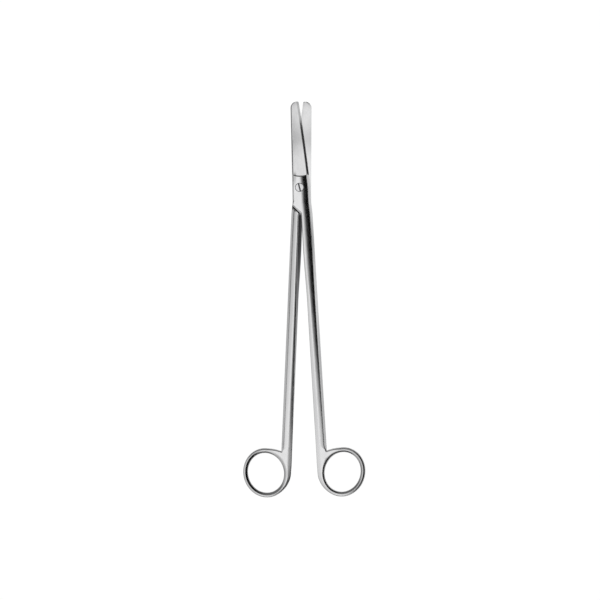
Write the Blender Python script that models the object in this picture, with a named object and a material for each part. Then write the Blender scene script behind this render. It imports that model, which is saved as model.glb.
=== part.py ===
"""Long curved dissecting scissors of satin steel: two forged halves and one slotted joint screw.

Frame: the pivot's axis is Z and z = 0 is the flat underside of the joint. +Y runs to the tips.
The halves are one forging used twice: the back half is the front half turned over about the
centre plane. A half is drawn closed, in "across" (mm from the centre plane, towards its own
shank), "along" (mm from the pivot, towards the tips) and "high" (mm from the lap plane).
"""

import math

import bmesh
import bpy
import numpy as np

MM = 0.001

# Lengths along the scissors, in mm from the pivot
TIP_REACH = 56.2
RING_REACH = 189.0
BOSS_REACH = 6.9
SHOULDER_OUTER = 12.6
SHOULDER_INNER = 18.0
DIAGONAL_OUTER = 11.3
DIAGONAL_INNER = 16.8

# Widths across, in mm from the centre plane
PIVOT_OFFSET = 1.5
BACK_AT_PIVOT = 6.25
BACK_AT_TIP = 4.6
EDGE_AT_PIVOT = 5.75
EDGE_AT_TIP = 0.95
EDGE_BELLY = 0.35
SHANK_OUTER_TOP = 6.2
SHANK_OUTER_RING = 7.35
WAIST = 0.5
SCARF = 1.4
SCARF_RUN = 58.0
SCARF_END = 168.0
INNER_GAP = 0.3

# Thicknesses and the curve of the blades
JOINT_THICK = 6.0
SHANK_THICK = 5.4
RING_THICK = 4.2
BLADE_ROOT_THICK = 2.3
BLADE_TIP_THICK = 1.5
EDGE_THICK = 1.25
EDGE_LAND = 0.15
LAP_GAP = 0.2
HOLLOW = 0.12
CURVE_START = 14.0
CURVE_RADIUS = 95.0

# Roundings, as widths seen from above
TIP_ROUND = 4.0
TIP_CORNER = 0.8
BACK_ROUND = 0.8
EDGE_BEVEL = 0.95
OUTER_ROUND_JOINT = 7.0
OUTER_ROUND_RING = 5.3
INNER_ROUND = 2.4
FACET = 0.29
FACET_RISE_JOINT = 0.62
FACET_RISE_RING = 0.76
EDGE_KEEP = 0.73
SIDE_FLAT = 0.2
SMILE_DEPTH = 1.5
SMILE_STEP = 0.5
SMILE_FADE = (1.0, 2.8)

# Finger ring, as half sizes of its oval hole
RING_OFFSET = 16.9
HOLE_SHORT = 11.75
HOLE_LONG = 13.15
HOLE_LEAN = 18.0
BAND = 3.2
BAND_EXTRA = 1.3
RING_ROUND = 1.1
HOLE_ROUND = 1.9
HOLE_CORNER = 0.45
HOLE_KEEP = 0.62
CREST = 0.15
CROTCH_GAP = 1.5
CROTCH_ROUND = 1.3
CROTCH_RUN = 7.0
WEB_RUN = 32.0

# Joint screw
SCREW_SHANK = 3.5
SCREW_HEAD = 5.4
HEAD_DEEP = 1.4
SLOT_WIDE = 1.0
SLOT_DEEP = 0.7
SLOT_TURN = 14.0
RUNNING_GAP = 0.06
THREAD_GAP = 0.1
HEAD_GAP = 0.15
ROUND_FACES = 32

# Opening of the two halves as they lie at rest, and how fine the lofts are
OPEN_AT_REST = 5.1
BLANK_BELOW = 1.0
LAP_GRID = 3.0
CUTTER_WIDE = 12.1
SHANK_STEP = 11.0
FACE_POINTS = 3
RING_FACES = 54

STEEL = (0.77, 0.77, 0.775, 1.0)
SCREW_STEEL = (0.74, 0.74, 0.75, 1.0)

HALF_JOINT = JOINT_THICK / 2
RING_CENTRE = np.array([RING_OFFSET, -RING_REACH])
CROTCH_ALONG = -RING_REACH + HOLE_LONG + CROTCH_GAP


def smooth(value, low, high):
    """0 below low, 1 above high, and an S curve between them."""
    part = np.clip((value - low) / (high - low), 0, 1)
    return part * part * (3 - 2 * part)


def mix(first, second, part):
    return first + (second - first) * part


def curve_rise(x, y):
    """How far the blades have curved up at a point: an arc on the distance from the pivot.

    Both halves share it, so the lap stays one surface of revolution about the pivot.
    """
    past = np.clip(np.hypot(x, y) - CURVE_START, 0, CURVE_RADIUS * 0.9)
    return np.where(y > 0, CURVE_RADIUS - np.sqrt(CURVE_RADIUS**2 - past**2), 0)


def back_edge(along):
    """The left side: the blade's back, straight on past the joint."""
    lean = (BACK_AT_PIVOT - BACK_AT_TIP) / (TIP_REACH - TIP_ROUND)
    side = -BACK_AT_PIVOT + lean * along
    start = TIP_REACH - TIP_ROUND
    bend = np.sqrt(1 - np.clip((along - start) / TIP_ROUND, 0, 1) ** 2)
    return side * bend + (1 - bend) * (-BACK_AT_TIP + TIP_ROUND)


def cutting_edge(along):
    """The right side of the blade: a line with a slight belly, and a small corner at the tip."""
    part = (TIP_REACH - along) / TIP_REACH
    side = mix(EDGE_AT_TIP, EDGE_AT_PIVOT, part) + 4 * EDGE_BELLY * part * (1 - part)
    corner = np.sqrt(1 - np.clip((along - TIP_REACH + TIP_CORNER) / TIP_CORNER, 0, 1) ** 2)
    return side - TIP_CORNER * (1 - corner)


def shank_outer(along):
    """The right side below the joint: waisted at the lap, then almost straight to the ring."""
    down = np.clip(-along - SHOULDER_INNER, 0, RING_REACH)
    slope = (SHANK_OUTER_RING - SHANK_OUTER_TOP) / (RING_REACH - SHOULDER_INNER)
    return SHANK_OUTER_TOP + slope * down - WAIST * smooth(along, -SHOULDER_INNER - 1, -DIAGONAL_OUTER + 3)


def right_edge(along):
    return np.where(along > 0, cutting_edge(along), mix(EDGE_AT_PIVOT, shank_outer(along), smooth(-along, 0, 8)))


def scarf(along):
    """How far the inner side leans over the centre plane, so that the closed shanks lap."""
    upper = smooth(along, -SCARF_RUN - 18, -SCARF_RUN + 18)
    lower = np.clip((along + SCARF_END) / (SCARF_END - SCARF_RUN), 0, 1)
    return SCARF * (0.5 * upper + 0.5 * lower)


def left_edges(along):
    """The left side at the top, on the lap plane and at the bottom."""
    middle = INNER_GAP / 2 + 0.1 * smooth(-along, SCARF_END, RING_REACH)
    lean = scarf(along)
    run = DIAGONAL_INNER - DIAGONAL_OUTER
    part = np.clip((along + DIAGONAL_INNER) / run, 0, 1)
    outline = mix(middle - lean, back_edge(-DIAGONAL_OUTER), part)
    outline = np.where(along > -DIAGONAL_OUTER, back_edge(along), outline)
    on_lap = mix(outline, middle, smooth(-along, DIAGONAL_INNER - 1.5, DIAGONAL_INNER + 1.2))
    return outline, on_lap, mix(outline, middle + lean, smooth(-along, DIAGONAL_INNER - 3, DIAGONAL_INNER))


def half_thick(along):
    shank = mix(HALF_JOINT, SHANK_THICK / 2, smooth(-along, SHOULDER_OUTER, SHOULDER_INNER + 20))
    return mix(shank, RING_THICK / 2, smooth(-along, RING_REACH - 50, RING_REACH - 8))


def quarter(part):
    """A quarter circle's height, from 0 at the edge to 1 at the end of the rounding."""
    return np.sqrt(1 - (1 - np.clip(part, 0, 1)) ** 2)


def lens(part, rise):
    """The outer side's rounding: a facet up to a share of the height, then a parabola to 1."""
    part = np.clip(part, 0, 1)
    arc = 1 - (1 - rise) * ((1 - part) / (1 - FACET)) ** 2
    return np.minimum(rise * part / FACET, arc)


def to_ring(along):
    return smooth(-along, SHOULDER_INNER, RING_REACH)


def facet_rise(along):
    return mix(FACET_RISE_JOINT, FACET_RISE_RING, to_ring(along))


def outer_wide(along):
    """Width of the outer side's rounding: it runs out just above the crotch."""
    wide = mix(OUTER_ROUND_JOINT, OUTER_ROUND_RING, to_ring(along))
    return mix(wide, CROTCH_ROUND, smooth(-along, -CROTCH_ALONG - CROTCH_RUN, -CROTCH_ALONG))


def inner_wide(along):
    return mix(BACK_ROUND, INNER_ROUND, smooth(-along, DIAGONAL_OUTER, SHOULDER_INNER + 8))


def shank_high(across, along, left):
    """Height of the joint's and the shank's upper side above the lap plane.

    The inner edge keeps most of the height, and the outer side comes down in a long rounding.
    """
    near = mix(EDGE_KEEP, 1, quarter((across - left) / inner_wide(along)))
    far = lens((right_edge(along) - across) / outer_wide(along), facet_rise(along))
    return SIDE_FLAT + (half_thick(along) - SIDE_FLAT) * near * far


def blade_high(across, along, left):
    """Height of the blade's outer face: thickest at the back, with the ground bevel at the edge."""
    right = right_edge(along)
    wide = np.maximum(right - left, 0.1)
    part = np.clip((across - left) / wide, 0, 1)
    back = mix(BLADE_ROOT_THICK, BLADE_TIP_THICK, np.clip(along / TIP_REACH, 0, 1))
    face = mix(back, np.minimum(EDGE_THICK, back), part**1.5)
    round_off = mix(0.65, 1.0, quarter((across - left) / BACK_ROUND))
    bevel = np.clip((right - across) / EDGE_BEVEL, 0, 1)
    blunt = mix(0.55, 1.0, quarter((TIP_REACH - along) / BACK_ROUND))
    foot = LAP_GAP / 2 + EDGE_LAND
    return foot + (face * round_off * blunt - foot) * bevel


def smile(across):
    """How far beyond its middle the boss's curved end reaches at a place across."""
    middle = (BACK_AT_PIVOT - EDGE_AT_PIVOT) / 2
    return SMILE_DEPTH * ((across + middle) / BACK_AT_PIVOT) ** 2


def upper_side(across, along, left):
    """The whole upper side: the raised joint boss ends in a curved step down to the blade.

    The step runs out towards the blade's back, where the boss slopes down into the blade.
    """
    end = BOSS_REACH + smile(across)
    sharp = smooth(across - left, *SMILE_FADE)
    on_blade = mix(smooth(along, BOSS_REACH - 3, BOSS_REACH + 14), smooth(along, end, end + SMILE_STEP), sharp)
    return mix(shank_high(across, along, left), blade_high(across, along, left), on_blade)


def bent(across, row):
    """Where a row lies along the bar: near the boss's end the rows bend with it."""
    return row + smile(across) * (1 - smooth(np.abs(row - BOSS_REACH), 1, 8))


def section(row):
    """One row across the bar: its upper points, then its lower ones, both from left to right.

    The first and the last point of the two are the same points on the side edges. Points are
    (across, along, high). Where the lap is ground off later, the lower side is a plain plate.
    """
    left_along = bent(left_edges(row)[0], row)
    right_along = bent(right_edge(row), row)
    top, level, bottom = (float(edge) for edge in left_edges(left_along))
    right = float(right_edge(right_along))
    in_steps = np.array([0, 0.08, 0.3, 0.62, 1.0]) * inner_wide(row)
    on_blade = smooth(row, BOSS_REACH + SMILE_STEP, BOSS_REACH + 5)
    facet = FACET * outer_wide(row)
    reach = min(outer_wide(row), right - top - in_steps[-1] - 0.4)
    on_shank = np.concatenate([mix(facet, reach, np.array([1.0, 0.62, 0.28])), np.array([1.0, 0.4, 0]) * facet])
    out_steps = mix(on_shank, np.array([2.2, 1.6, 1.0, 0.5, 0.25, 0]) * EDGE_BEVEL, on_blade)
    scale = min(1.0, (right - top) / (in_steps[-1] + out_steps[0] + 0.4))
    flat = np.linspace(top + in_steps[-1] * scale, right - out_steps[0] * scale, FACE_POINTS + 2)
    across = np.concatenate([top + in_steps[:-1] * scale, flat, right - out_steps[1:] * scale])
    along = bent(across, row)
    high = upper_side(across, along, left_edges(along)[0])
    ground = smooth(row, -SHOULDER_OUTER + 0.5, -SHOULDER_OUTER + 2.5)
    rim = -ground * BLANK_BELOW / 2
    mirrored = bottom + (across - top) * (right - bottom) / (right - top)
    ends = [(level, left_along, rim), (right, right_along, rim)]
    upper = [ends[0], *zip(across, along, high), ends[1]]
    lower = [ends[0], *zip(mirrored, along, mix(-high, -BLANK_BELOW, ground)), ends[1]]
    return upper, lower


def stations():
    """Places along the bar for its sections, close together where the form turns."""
    tip = TIP_REACH - TIP_ROUND * (1 - np.sin(np.linspace(0, math.pi / 2, 8)))
    tip = np.append(tip[:-1], [TIP_REACH - 0.12, TIP_REACH - 0.02])
    blade = np.linspace(BOSS_REACH + SMILE_STEP + 2, TIP_REACH - TIP_ROUND, 14)
    step = BOSS_REACH + SMILE_STEP * np.array([-1.5, -0.1, 0.15, 0.5, 0.85, 1.1, 2.5])
    joint = np.linspace(-SHOULDER_INNER - 2, -DIAGONAL_OUTER + 1.5, 11)
    top = np.linspace(-DIAGONAL_OUTER + 4, BOSS_REACH - 3, 5)
    count = round((-SHOULDER_INNER - 4 - CROTCH_ALONG) / SHANK_STEP)
    shank = np.linspace(CROTCH_ALONG, -SHOULDER_INNER - 4, count)
    near_ring = CROTCH_ALONG + np.array([0.5, 1.5, 3.2])
    return np.unique(np.round(np.concatenate([tip, blade, step, joint, top, shank, near_ring]), 4))


def oval(angle, short, long):
    """Distance from the ring's centre to an oval that leans towards the shank's far side."""
    turned = angle - math.pi / 2 + math.radians(HOLE_LEAN)
    return short * long / np.sqrt((long * np.sin(turned)) ** 2 + (short * np.cos(turned)) ** 2)


def on_ring(angle, reach):
    """Points at distances from the ring's centre."""
    return RING_CENTRE + np.stack([reach * np.cos(angle), reach * np.sin(angle)], axis=-1)


def past_shank(angle):
    """0 where the ring's outline is still the shank's straight inner side, 1 where it is the band."""
    return smooth(angle, math.radians(160), math.radians(200))


def at_crotch(angle, last):
    """1 at the crotch's angle, falling to 0 where the ring has its plain round band."""
    return np.clip(1 - (last - angle) / math.radians(WEB_RUN), 0, 1)


def ring_outside(angle, crotch, last):
    """Distance from the ring's centre to its outline, for angles from the left side round to the crotch.

    The shank's straight inner side blends into the band, which thins to the plain band below. At
    the other end a small web fills the corner up to the crotch.
    """
    extra = BAND_EXTRA * (1 - smooth(angle, math.radians(180), math.radians(240)))
    band = oval(angle, HOLE_SHORT, HOLE_LONG) + BAND + extra
    straight = (RING_OFFSET - left_edges(CROTCH_ALONG)[0]) / np.clip(-np.cos(angle), 0.5, 1)
    web = math.dist(crotch, RING_CENTRE) - oval(last, HOLE_SHORT, HOLE_LONG) - BAND
    return mix(straight, band, past_shank(angle)) + web * at_crotch(angle, last) ** 1.5


def outer_round(angle):
    """Width of the outline's rounding along a spoke: the shank's inner one narrows to the band's."""
    shank = INNER_ROUND / mix(-np.cos(angle), 1, past_shank(angle))
    return mix(shank, RING_ROUND, smooth(angle, math.radians(150), math.radians(235)))


def edge_keep(angle):
    """Share of the height that the outline keeps: the shank's inner edge fades to the band's."""
    return EDGE_KEEP * (1 - smooth(angle, math.radians(165), math.radians(235)))


def hole_side(distance):
    """The band slopes down to its hole as a parabola, with a rounded corner at the hole's edge."""
    slope = mix(HOLE_KEEP, 1, 1 - (1 - np.clip(distance / HOLE_ROUND, 0, 1)) ** 2)
    return slope * quarter(distance / HOLE_CORNER)


def ring_high(line, angle, last, joined):
    """Height of the ring's upper side along a spoke from its outline to the hole's edge.

    It is rounded off towards the outline and the hole, and towards the crotch like the shank.
    """
    from_start = np.hypot(*(line - line[0]).T)
    to_hole = np.hypot(*(line - line[-1]).T)
    thick = half_thick(line[:, 1]) - SIDE_FLAT
    if joined is not None:
        corner, crotch = joined
        outside = mix(EDGE_KEEP, 1, quarter((line[:, 0] - corner[0]) / INNER_ROUND))
        outside = outside * lens(np.hypot(*(line - crotch).T) / CROTCH_ROUND, FACET_RISE_RING)
    else:
        outside = mix(edge_keep(angle), 1, quarter(from_start / outer_round(angle)))
        web = lens(from_start / CROTCH_ROUND, FACET_RISE_RING)
        outside = mix(outside, web, smooth(at_crotch(angle, last), 0, 1))
    return SIDE_FLAT + thick * outside * hole_side(to_hole)


def half_blank():
    """The forged blank of one half: a bar lofted from the tip to the crotch, and the finger ring.

    Both are an upper and a lower sheet that share their side edges, so the blank is one closed skin.
    Returns points as (across, along, high) and faces as lists of point numbers.
    """
    points, faces = [], []

    def add(across, along, high):
        points.append((float(across), float(along), float(high)))
        return len(points) - 1

    def quads(first, second, flip):
        """Joins two rows of point numbers by quads, leaving out sides of no length."""
        for a, b, c, d in zip(first, first[1:], second[1:], second):
            loop = [a, b, c, d] if flip else [d, c, b, a]
            loop = [point for i, point in enumerate(loop) if point != loop[i - 1]]
            if len(loop) > 2:
                faces.append(loop)

    rows = []
    for row in stations():
        upper, lower = section(row)
        left, right = add(*upper[0]), add(*upper[-1])
        top = [left, *(add(*spot) for spot in upper[1:-1]), right]
        low = [left, *(add(*spot) for spot in lower[1:-1]), right]
        rows.append((top, low))
    for (top, low), (next_top, next_low) in zip(rows, rows[1:]):
        quads(top, next_top, True)
        quads(low, next_low, False)
    top, low = rows[-1]
    faces.append(top + low[-2:0:-1])

    top, low = rows[0]
    place = np.array(points)
    crotch, corner = place[top[-1], :2], place[top[0], :2]
    first = math.atan2(*(corner - RING_CENTRE)[::-1])
    last = math.atan2(*(crotch - RING_CENTRE)[::-1]) + 2 * math.pi
    free = np.linspace(first, last, RING_FACES)[1:-1]
    steps = np.array([0, 0.08, 0.3, 0.62, 1.0])

    def spoke(angle, start, outer_top, outer_low, joined=None):
        """Points from the outline in to the hole's edge, above and below, at one angle."""
        hole = on_ring(angle, oval(angle, HOLE_SHORT, HOLE_LONG))
        reach = math.dist(start, hole)
        wide = CROTCH_ROUND if joined else mix(outer_round(angle), CROTCH_ROUND, at_crotch(angle, last))
        wide = min(wide, reach - HOLE_ROUND - CREST)
        parts = np.concatenate([steps * wide / reach, 1 - steps[::-1] * HOLE_ROUND / reach])
        line = start + (hole - start) * parts[:, None]
        high = ring_high(line, angle, last, joined)[1:-1]
        rim = add(*hole, 0)
        above = [outer_top, *(add(*spot, height) for spot, height in zip(line[1:-1], high)), rim]
        below = [outer_low, *(add(*spot, -height) for spot, height in zip(line[1:-1], high)), rim]
        return above, below

    spokes = []
    for angle in free:
        start = on_ring(angle, ring_outside(angle, crotch, last))
        outer = add(*start, 0)
        edge = ring_high(np.array([start, on_ring(angle, oval(angle, HOLE_SHORT, HOLE_LONG))]), angle, last, None)[0]
        above, below = spoke(angle, start, add(*start, edge), add(*start, -edge))
        spokes.append(([outer, *above], [outer, *below]))
    joined = []
    for up, down in zip(top[1:-1], low[1:-1]):
        start = place[up, :2]
        angle = math.atan2(*(start - RING_CENTRE)[::-1])
        joined.append(spoke(angle, start, up, down, (corner, crotch)))
    for above, below in (joined[0], joined[-1]):
        above.insert(0, top[0] if above is joined[0][0] else top[-1])
        below.insert(0, above[0])
    spokes = [joined[0], *spokes, joined[-1]]
    for (above, below), (next_above, next_below) in zip(spokes, spokes[1:]):
        quads(above, next_above, True)
        quads(below, next_below, False)
    count = 2 * len(steps)
    web = [(above[-count:], below[-count:]) for above, below in joined]
    for (above, below), (next_above, next_below) in zip(web, web[1:]):
        quads(above, next_above, False)
        quads(below, next_below, True)
    return np.array(points), faces


def placed(points, side):
    """Points of a half in the frame of the scissors: side is 1 for the front half, -1 for the back."""
    x = PIVOT_OFFSET + side * points[:, 0]
    y = points[:, 1]
    z = HALF_JOINT + curve_rise(x, y) + side * points[:, 2]
    return np.stack([x, y, z], axis=1)


def steel(name, colour, roughness):
    material = bpy.data.materials.new(name)
    material.use_nodes = True
    shader = material.node_tree.nodes["Principled BSDF"]
    shader.inputs["Base Color"].default_value = colour
    shader.inputs["Metallic"].default_value = 1.0
    shader.inputs["Roughness"].default_value = roughness
    return material


def new_object(name, points, faces, material=None):
    """A closed mesh from points in mm, with its faces turned outwards."""
    mesh = bpy.data.meshes.new(name)
    mesh.from_pydata([tuple(point) for point in np.asarray(points) * MM], [], [list(face) for face in faces])
    shape = bmesh.new()
    shape.from_mesh(mesh)
    bmesh.ops.triangulate(shape, faces=shape.faces)
    bmesh.ops.recalc_face_normals(shape, faces=shape.faces)
    if shape.calc_volume(signed=True) < 0:
        bmesh.ops.reverse_faces(shape, faces=shape.faces)
    shape.to_mesh(mesh)
    shape.free()
    item = bpy.data.objects.new(name, mesh)
    bpy.context.scene.collection.objects.link(item)
    if material:
        mesh.materials.append(material)
    return item


def cut(item, cutters):
    """Cuts the cutters from an object, then marks the sharp edges that the cuts leave."""
    for cutter in cutters:
        modifier = item.modifiers.new(cutter.name, "BOOLEAN")
        modifier.operation = "DIFFERENCE"
        modifier.solver = "EXACT"
        modifier.object = cutter
    seen = item.evaluated_get(bpy.context.evaluated_depsgraph_get())
    item.data = bpy.data.meshes.new_from_object(seen)
    item.modifiers.clear()
    for cutter in cutters:
        bpy.data.objects.remove(cutter)
    smooth_shading(item)


def turned_profile(name, profile, material=None):
    """A solid turned about Z from (radius, z) pairs, the first and the last on the axis."""
    count = ROUND_FACES
    angles = 2 * math.pi * (np.arange(count) + 0.5) / count
    points = [(0, 0, profile[0][1]), (0, 0, profile[-1][1])]
    rings = []
    for radius, z in profile[1:-1]:
        rings.append([len(points) + i for i in range(count)])
        points += [(radius * math.cos(a), radius * math.sin(a), z) for a in angles]
    faces = []
    for i in range(count):
        j = (i + 1) % count
        faces.append((0, rings[0][j], rings[0][i]))
        faces.append((1, rings[-1][i], rings[-1][j]))
        for low, high in zip(rings, rings[1:]):
            faces.append((low[i], low[j], high[j], high[i]))
    return new_object(name, points, faces, material)


def lap_cutter(name, side):
    """What is ground off a half: everything past the lap surface, up to the slanted shoulder.

    Its working face follows the curve of the blades on a grid, with the blade's shallow hollow.
    """
    across = np.linspace(-CUTTER_WIDE, CUTTER_WIDE - 1.3, 9)
    slope = (SHOULDER_INNER - SHOULDER_OUTER) / (SHANK_OUTER_TOP - INNER_GAP)
    count = round((TIP_REACH + 10) / LAP_GRID)
    points, faces = [], []
    for row in range(count + 1):
        for place in across:
            start = -SHOULDER_OUTER + slope * (place - SHANK_OUTER_TOP)
            along = mix(start, TIP_REACH + 8, row / count)
            left, right = back_edge(np.float64(along)), right_edge(np.float64(along))
            part = np.clip((place - left) / max(right - left, 0.1), 0, 1)
            on_blade = smooth(along, BOSS_REACH, BOSS_REACH + 12)
            hollow = HOLLOW * 4 * part * (1 - part) * on_blade
            points.append((place, along, LAP_GAP / 2 + hollow))
    wide = len(across)
    size = len(points)
    points += [(place, along, -HALF_JOINT - 2) for place, along, _ in points]
    for row in range(count):
        for i in range(wide - 1):
            a = row * wide + i
            faces.append((a, a + 1, a + wide + 1, a + wide))
            faces.append((size + a + wide, size + a + wide + 1, size + a + 1, size + a))
    for i in range(wide - 1):
        end = count * wide + i
        faces.append((i, size + i, size + i + 1, i + 1))
        faces.append((end + 1, size + end + 1, size + end, end))
    for row in range(count):
        for a, b in ((row * wide, (row + 1) * wide), ((row + 1) * wide + wide - 1, row * wide + wide - 1)):
            faces.append((a, b, size + b, size + a))
    cutter = new_object(name, placed(np.array(points), side), faces)
    cutter.data.shade_smooth()
    return cutter


def smooth_shading(item):
    item.data.shade_smooth()
    item.data.set_sharp_from_angle(angle=math.radians(35))


def make_half(name, side, material):
    points, faces = half_blank()
    half = new_object(name, placed(points, side), faces, material)
    half.data.shade_smooth()
    tools = [lap_cutter(name + "_lap_cutter", side)]
    high = JOINT_THICK + 2
    if side > 0:
        hole = SCREW_SHANK / 2 + RUNNING_GAP
        seat = SCREW_HEAD / 2 + HEAD_GAP
        floor = JOINT_THICK - HEAD_DEEP - RUNNING_GAP
        profile = [(0, -2), (hole, -2), (hole, floor), (seat, floor), (seat, high), (0, high)]
    else:
        hole = SCREW_SHANK / 2 + THREAD_GAP
        profile = [(0, -2), (hole, -2), (hole, high), (0, high)]
    tools.append(turned_profile(name + "_screw_hole", profile))
    cut(half, tools)
    half.rotation_euler.z = side * math.radians(OPEN_AT_REST / 2)
    return half


def make_screw(material):
    """Slotted screw: a flush head in the front half, its end riveted flush under the back half."""
    shank, head = SCREW_SHANK / 2, SCREW_HEAD / 2
    under = JOINT_THICK - HEAD_DEEP
    profile = [(0, 0), (shank, 0), (shank, under), (head, under), (head, JOINT_THICK - 0.25)]
    profile += [(head - 0.25, JOINT_THICK), (0, JOINT_THICK)]
    screw = turned_profile("joint_screw", profile, material)
    screw.data.shade_smooth()
    half_slot = np.array([SLOT_WIDE / 2, SCREW_HEAD, 1.0])
    corners = [(x, y, z) for x in (-1, 1) for y in (-1, 1) for z in (0, 1)]
    points = np.array(corners) * half_slot + np.array([0, 0, JOINT_THICK - SLOT_DEEP])
    turn = math.radians(SLOT_TURN)
    spin = np.array([[math.cos(turn), math.sin(turn), 0], [-math.sin(turn), math.cos(turn), 0], [0, 0, 1]])
    sides = [(0, 1, 3, 2), (4, 6, 7, 5), (0, 4, 5, 1), (2, 3, 7, 6), (0, 2, 6, 4), (1, 5, 7, 3)]
    cut(screw, [new_object("screw_slot", points @ spin, sides)])
    return screw


def main():
    for item in list(bpy.data.objects):
        bpy.data.objects.remove(item, do_unlink=True)
    satin = steel("satin_steel", STEEL, 0.3)
    make_half("front_half", 1, satin)
    make_half("back_half", -1, satin)
    make_screw(steel("screw_steel", SCREW_STEEL, 0.25))


main()
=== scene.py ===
"""Long curved dissecting scissors: the fine surfaces, the satin steel and the studio light.

Frame: metres, the pivot's axis is Z, z = 0 is the flat underside of the joint and +Y runs to the
tips. The two halves are one forging used twice: the back half is the front half turned over about
the centre plane. Sizes below are in mm. A half is worked out closed, in "across" (from the centre
plane, towards its own shank), "along" (from the pivot, towards the tips) and "high" (from the lap
plane); placed() then puts it where the CAD has it.
"""

import math

import bmesh
import bpy
import numpy as np
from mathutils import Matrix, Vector


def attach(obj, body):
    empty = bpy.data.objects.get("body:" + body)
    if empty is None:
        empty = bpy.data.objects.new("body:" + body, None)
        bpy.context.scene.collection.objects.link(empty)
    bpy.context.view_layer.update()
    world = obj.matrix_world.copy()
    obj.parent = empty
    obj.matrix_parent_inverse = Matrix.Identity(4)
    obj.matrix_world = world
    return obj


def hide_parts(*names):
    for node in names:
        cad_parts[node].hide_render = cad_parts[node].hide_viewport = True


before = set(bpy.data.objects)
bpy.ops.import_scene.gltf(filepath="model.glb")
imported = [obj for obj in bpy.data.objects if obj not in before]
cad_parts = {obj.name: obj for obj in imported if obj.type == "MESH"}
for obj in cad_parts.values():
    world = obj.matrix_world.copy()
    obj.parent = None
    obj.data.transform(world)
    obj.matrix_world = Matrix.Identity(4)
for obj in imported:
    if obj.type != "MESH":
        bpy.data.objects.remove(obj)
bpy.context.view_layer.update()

MM = 0.001

# Lengths along the scissors, in mm from the pivot
TIP_REACH = 56.2
RING_REACH = 189.0
BOSS_REACH = 6.9
SHOULDER_OUTER = 12.6
SHOULDER_INNER = 18.0
DIAGONAL_OUTER = 11.3
DIAGONAL_INNER = 16.8

# Widths across, in mm from the centre plane
PIVOT_OFFSET = 1.5
BACK_AT_PIVOT = 6.25
BACK_AT_TIP = 4.6
EDGE_AT_PIVOT = 5.75
EDGE_AT_TIP = 0.95
EDGE_BELLY = 0.35
EDGE_TO_SHANK = 8.0
SHANK_OUTER_TOP = 6.2
SHANK_OUTER_RING = 7.35
WAIST = 0.5
SCARF = 1.4
SCARF_RUN = 58.0
SCARF_SOFT = 18.0
SCARF_END = 168.0
INNER_GAP = 0.3

# Thicknesses and the curve of the blades
JOINT_THICK = 6.0
SHANK_THICK = 5.4
RING_THICK = 4.2
BLADE_ROOT_THICK = 2.3
BLADE_TIP_THICK = 1.5
EDGE_THICK = 1.35
EDGE_THICK_ROOT = 1.9
EDGE_THICK_RUN = 30.0
EDGE_LAND = 0.2
LAP_GAP = 0.2
HOLLOW = 0.12
HOLLOW_RUN = 12.0
JOINT_TAPER = 20.0
RING_TAPER = (50.0, 8.0)
CURVE_START = 14.0
CURVE_RADIUS = 95.0

# Roundings: widths seen from above in mm, and the share of the height that an edge keeps
TIP_ROUND = 4.0
TIP_KEEP = 0.55
TIP_CORNER = 0.8
BACK_ROUND = 0.95
BACK_KEEP = 0.58
EDGE_BEVEL = 1.5
EDGE_KNEE = 0.16
BEVEL_DEEP = 0.27
BEVEL_AT_TIP = 0.1
BEVEL_FADE = (38, 46)
OUTER_ROUND_JOINT = 7.0
OUTER_ROUND_RING = 5.3
INNER_ROUND_JOINT = 0.7
INNER_ROUND = 2.9
DIAGONAL_NARROW = 0.65
FACET = 0.29
FACET_RISE_JOINT = 0.62
FACET_RISE_RING = 0.88
FACET_SOFT = 0.05
EDGE_KEEP_JOINT = 0.9
EDGE_KEEP = 0.8
EDGE_CORNER = 0.25
CORNER_KEEP = 0.92
SLOPE_BEND = 1.15
SIDE_FLAT = 0.2
SMILE_DEPTH = 1.5
SMILE_STEP = 0.8
SMILE_FADE = (1.0, 2.8)
BACK_STEP = (8.0, 5.0)
SHOULDER_RIM = 0.22
SHOULDER_LEAN = 0.9

# Finger ring: its oval hole's half sizes and lean, its band, and the widths of the band's two slopes
RING_OFFSET = 16.9
HOLE_SHORT = 11.75
HOLE_LONG = 13.15
HOLE_LEAN = 18.0
BAND = 3.2
BAND_EXTRA = 1.3
UPPER_RING = (1.6, 1.55)
LOWER_RING = (1.25, 1.9)
RING_KEEP = 0.79
RING_CORNER_KEEP = 0.45
RING_CORNER = 0.6
HOLE_CORNER = 0.2
HOLE_KEEP = 0.5
HOLE_BEND = 1.3
CREST = 0.04
CROTCH_GAP = 1.5
CROTCH_ROUND = 1.3
CROTCH_RUN = 3.5
WEB_RUN = 32.0
WEB_BEND = 1.5

# Angles in degrees from +X at the ring's centre, between which one form fades into the next
SHANK_TO_BAND = (160, 200)
EXTRA_FADE = (180, 240)
ROUND_FADE = (150, 235)
KEEP_FADE = (165, 235)

# Joint screw
SCREW_SHANK = 3.5
SCREW_HEAD = 5.4
HEAD_DEEP = 1.4
HEAD_EDGE = 0.18
END_CHAMFER = 0.1
SLOT_WIDE = 1.0
SLOT_DEEP = 0.7
SLOT_TURN = 14.0
RUNNING_GAP = 0.06
THREAD_GAP = 0.1
HEAD_GAP = 0.15

# How the pieces are cut: how far a cutter reaches past the joint in mm, facets round a circle,
# the angle in degrees above which an edge is sharp, and how near points are merged in metres
HOLE_BEYOND = 2.0
ROUND_FACES = 128
SHARP_ANGLE = 32.0
MERGE_WITHIN = 1e-7

# Angle between the halves as they lie, in degrees
OPEN_AT_REST = 5.1

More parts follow.
